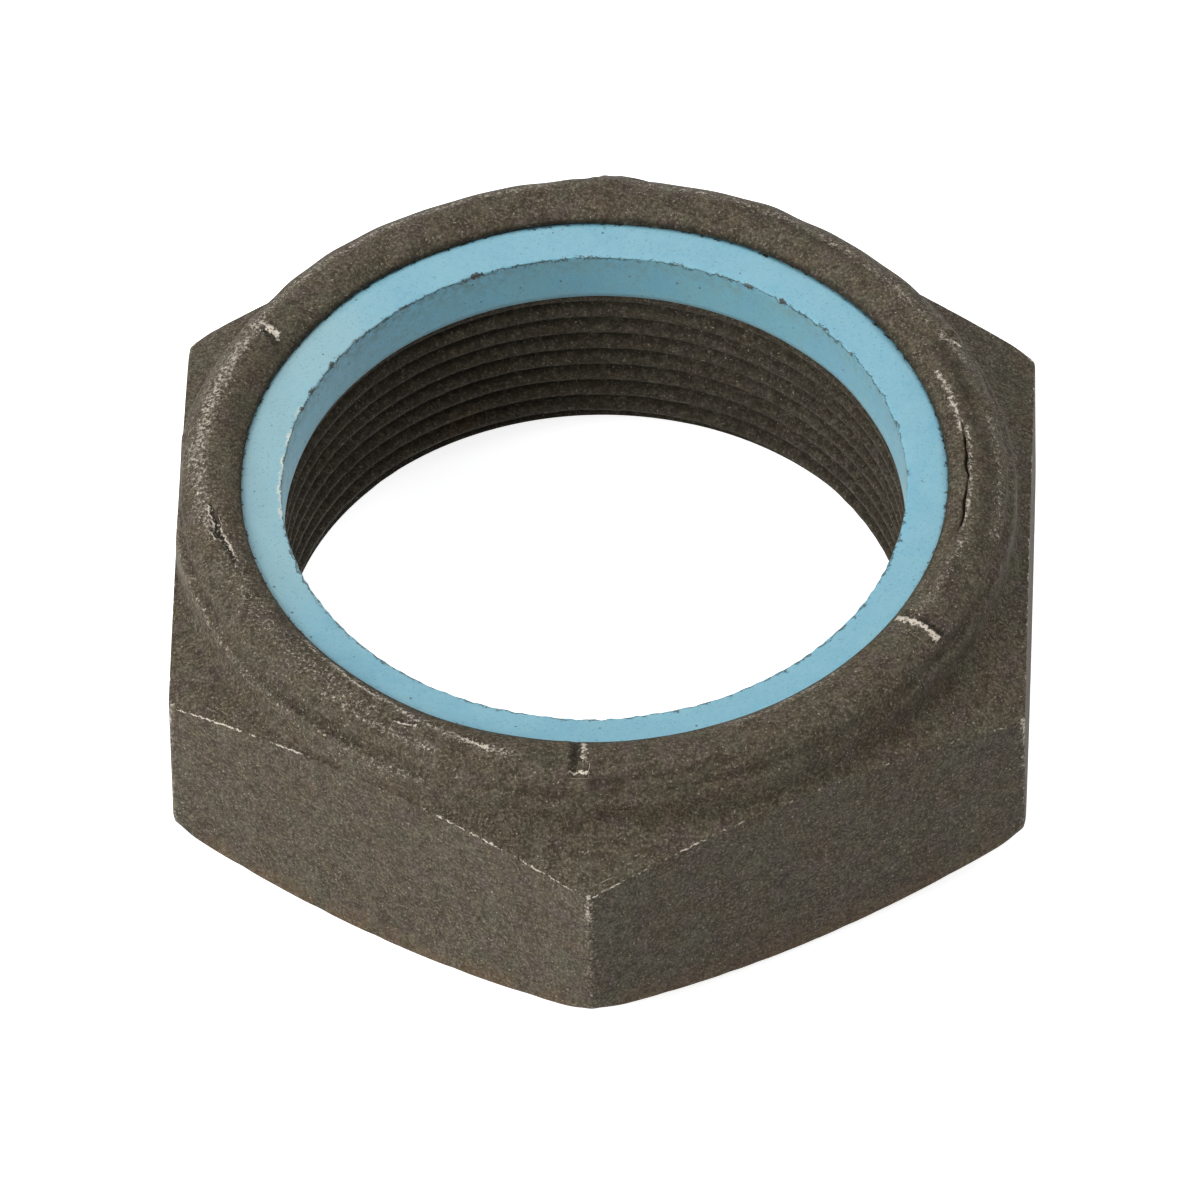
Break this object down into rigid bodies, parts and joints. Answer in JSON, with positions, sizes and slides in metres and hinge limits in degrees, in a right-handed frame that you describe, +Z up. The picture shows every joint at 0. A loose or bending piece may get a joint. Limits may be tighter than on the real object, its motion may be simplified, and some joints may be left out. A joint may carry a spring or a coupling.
{
  "type": "nylon insert lock nut",
  "caption": "Thin hexagon lock nut for a spindle or axle end, in dark steel with a rolled collar that holds a blue nylon ring.",
  "frame": {"origin": "centre of the bearing face, on the thread axis", "axes": "+Z up the thread axis, from the bearing face to the rolled collar; one corner of the hexagon points along -Y and two flats face +X and -X"},
  "size_m": [0.055, 0.0634, 0.0192],
  "materials": {
    "dark_steel": "dark grey-brown phosphated steel, matte, with bare bright nicks along the edges and the rolled rim",
    "blue_nylon": "light blue nylon with a satin top face and small dark specks"
  },
  "bodies": {
    "root": {"nut_body": "dark_steel", "nylon_insert": "blue_nylon"}
  },
  "joints": []
}
